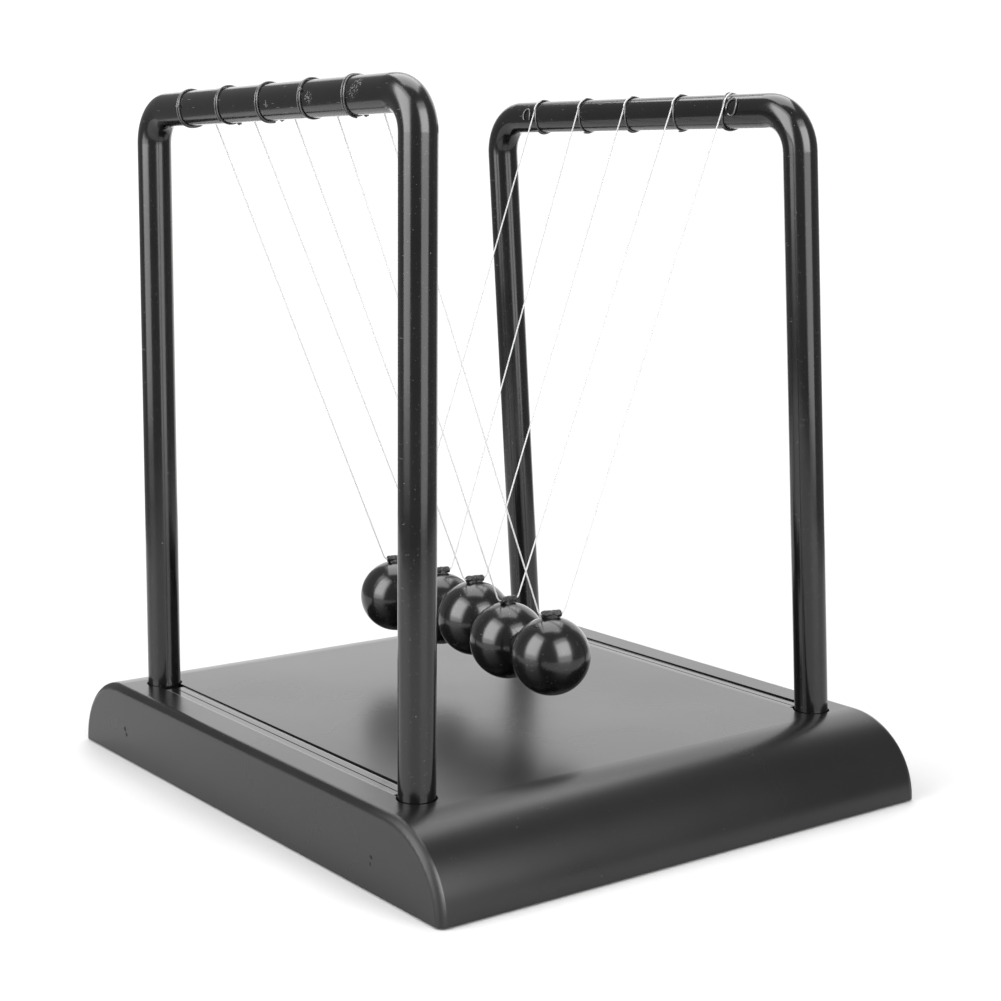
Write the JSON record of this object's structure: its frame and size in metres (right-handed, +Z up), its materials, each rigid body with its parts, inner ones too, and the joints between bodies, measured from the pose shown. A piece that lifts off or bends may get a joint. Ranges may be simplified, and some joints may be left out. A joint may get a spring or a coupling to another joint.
{
  "type": "newton's cradle",
  "caption": "Newton's cradle: a row of touching balls on V-shaped strings between two bent tube frames that stand in a low moulded base.",
  "frame": {"origin": "on the surface it stands on, under the middle of the base", "axes": "+Z up, +X along the row of balls, +Y from the left frame to the right frame"},
  "size_m": [0.178, 0.15, 0.1819],
  "materials": {
    "base_plastic": "fine satin moulded black",
    "plate_plastic": "matt moulded black",
    "inlay_gloss": "glossy black strip",
    "frame_lacquer": "gloss black lacquer on steel tube",
    "insert_brass": "turned",
    "fastener_steel": "zinc plated",
    "pad_foam": "matt foam rubber",
    "hanger_black": "rough black lacquer",
    "ball_lacquer": "gloss black lacquer on steel ball",
    "string_nylon": "clear nylon monofilament"
  },
  "bodies": {
    "cradle": {"base_shell": "base_plastic", "base_bottom_plate": "plate_plastic", "left_inlay_strip": "inlay_gloss", "right_inlay_strip": "inlay_gloss", "left_frame": "frame_lacquer", "right_frame": "frame_lacquer", "leg_insert_1": "insert_brass", "leg_insert_2": "insert_brass", "leg_insert_3": "insert_brass", "leg_insert_4": "insert_brass", "leg_screws": "fastener_steel", "leg_washers": "fastener_steel", "cover_screws": "fastener_steel", "foot_pad_1": "pad_foam", "foot_pad_2": "pad_foam", "foot_pad_3": "pad_foam", "foot_pad_4": "pad_foam", "string_tie_left_1": "string_nylon", "string_tie_right_1": "string_nylon", "string_tie_left_2": "string_nylon", "string_tie_right_2": "string_nylon", "string_tie_left_3": "string_nylon", "string_tie_right_3": "string_nylon", "string_tie_left_4": "string_nylon", "string_tie_right_4": "string_nylon", "string_tie_left_5": "string_nylon", "string_tie_right_5": "string_nylon"},
    "pendulum_1": {"ball_1": "ball_lacquer", "ball_hanger_1": "hanger_black", "string_1": "string_nylon"},
    "pendulum_2": {"ball_2": "ball_lacquer", "ball_hanger_2": "hanger_black", "string_2": "string_nylon"},
    "pendulum_3": {"ball_3": "ball_lacquer", "ball_hanger_3": "hanger_black", "string_3": "string_nylon"},
    "pendulum_4": {"ball_4": "ball_lacquer", "ball_hanger_4": "hanger_black", "string_4": "string_nylon"},
    "pendulum_5": {"ball_5": "ball_lacquer", "ball_hanger_5": "hanger_black", "string_5": "string_nylon"}
  },
  "joints": [
    {"name": "swing_1", "type": "hinge", "parent": "cradle", "child": "pendulum_1", "pos_m": [-0.04043, 0, 0.17832], "axis": [0, -1, -0.0035], "range_deg": [-85, 0]},
    {"name": "swing_2", "type": "hinge", "parent": "cradle", "child": "pendulum_2", "pos_m": [-0.0203, 0, 0.17834], "axis": [0, -1, 0.0002], "range_deg": [-0.08, 0.08]},
    {"name": "swing_3", "type": "hinge", "parent": "cradle", "child": "pendulum_3", "pos_m": [-0.00032, 0, 0.1784], "axis": [0, -1, 0.0015], "range_deg": [-0.08, 0.08]},
    {"name": "swing_4", "type": "hinge", "parent": "cradle", "child": "pendulum_4", "pos_m": [0.01948, 0, 0.17842], "axis": [0, -1, 0.0022], "range_deg": [-0.08, 0.08]},
    {"name": "swing_5", "type": "hinge", "parent": "cradle", "child": "pendulum_5", "pos_m": [0.03963, 0, 0.17846], "axis": [0, -1, 0.0041], "range_deg": [0, 85]}
  ]
}
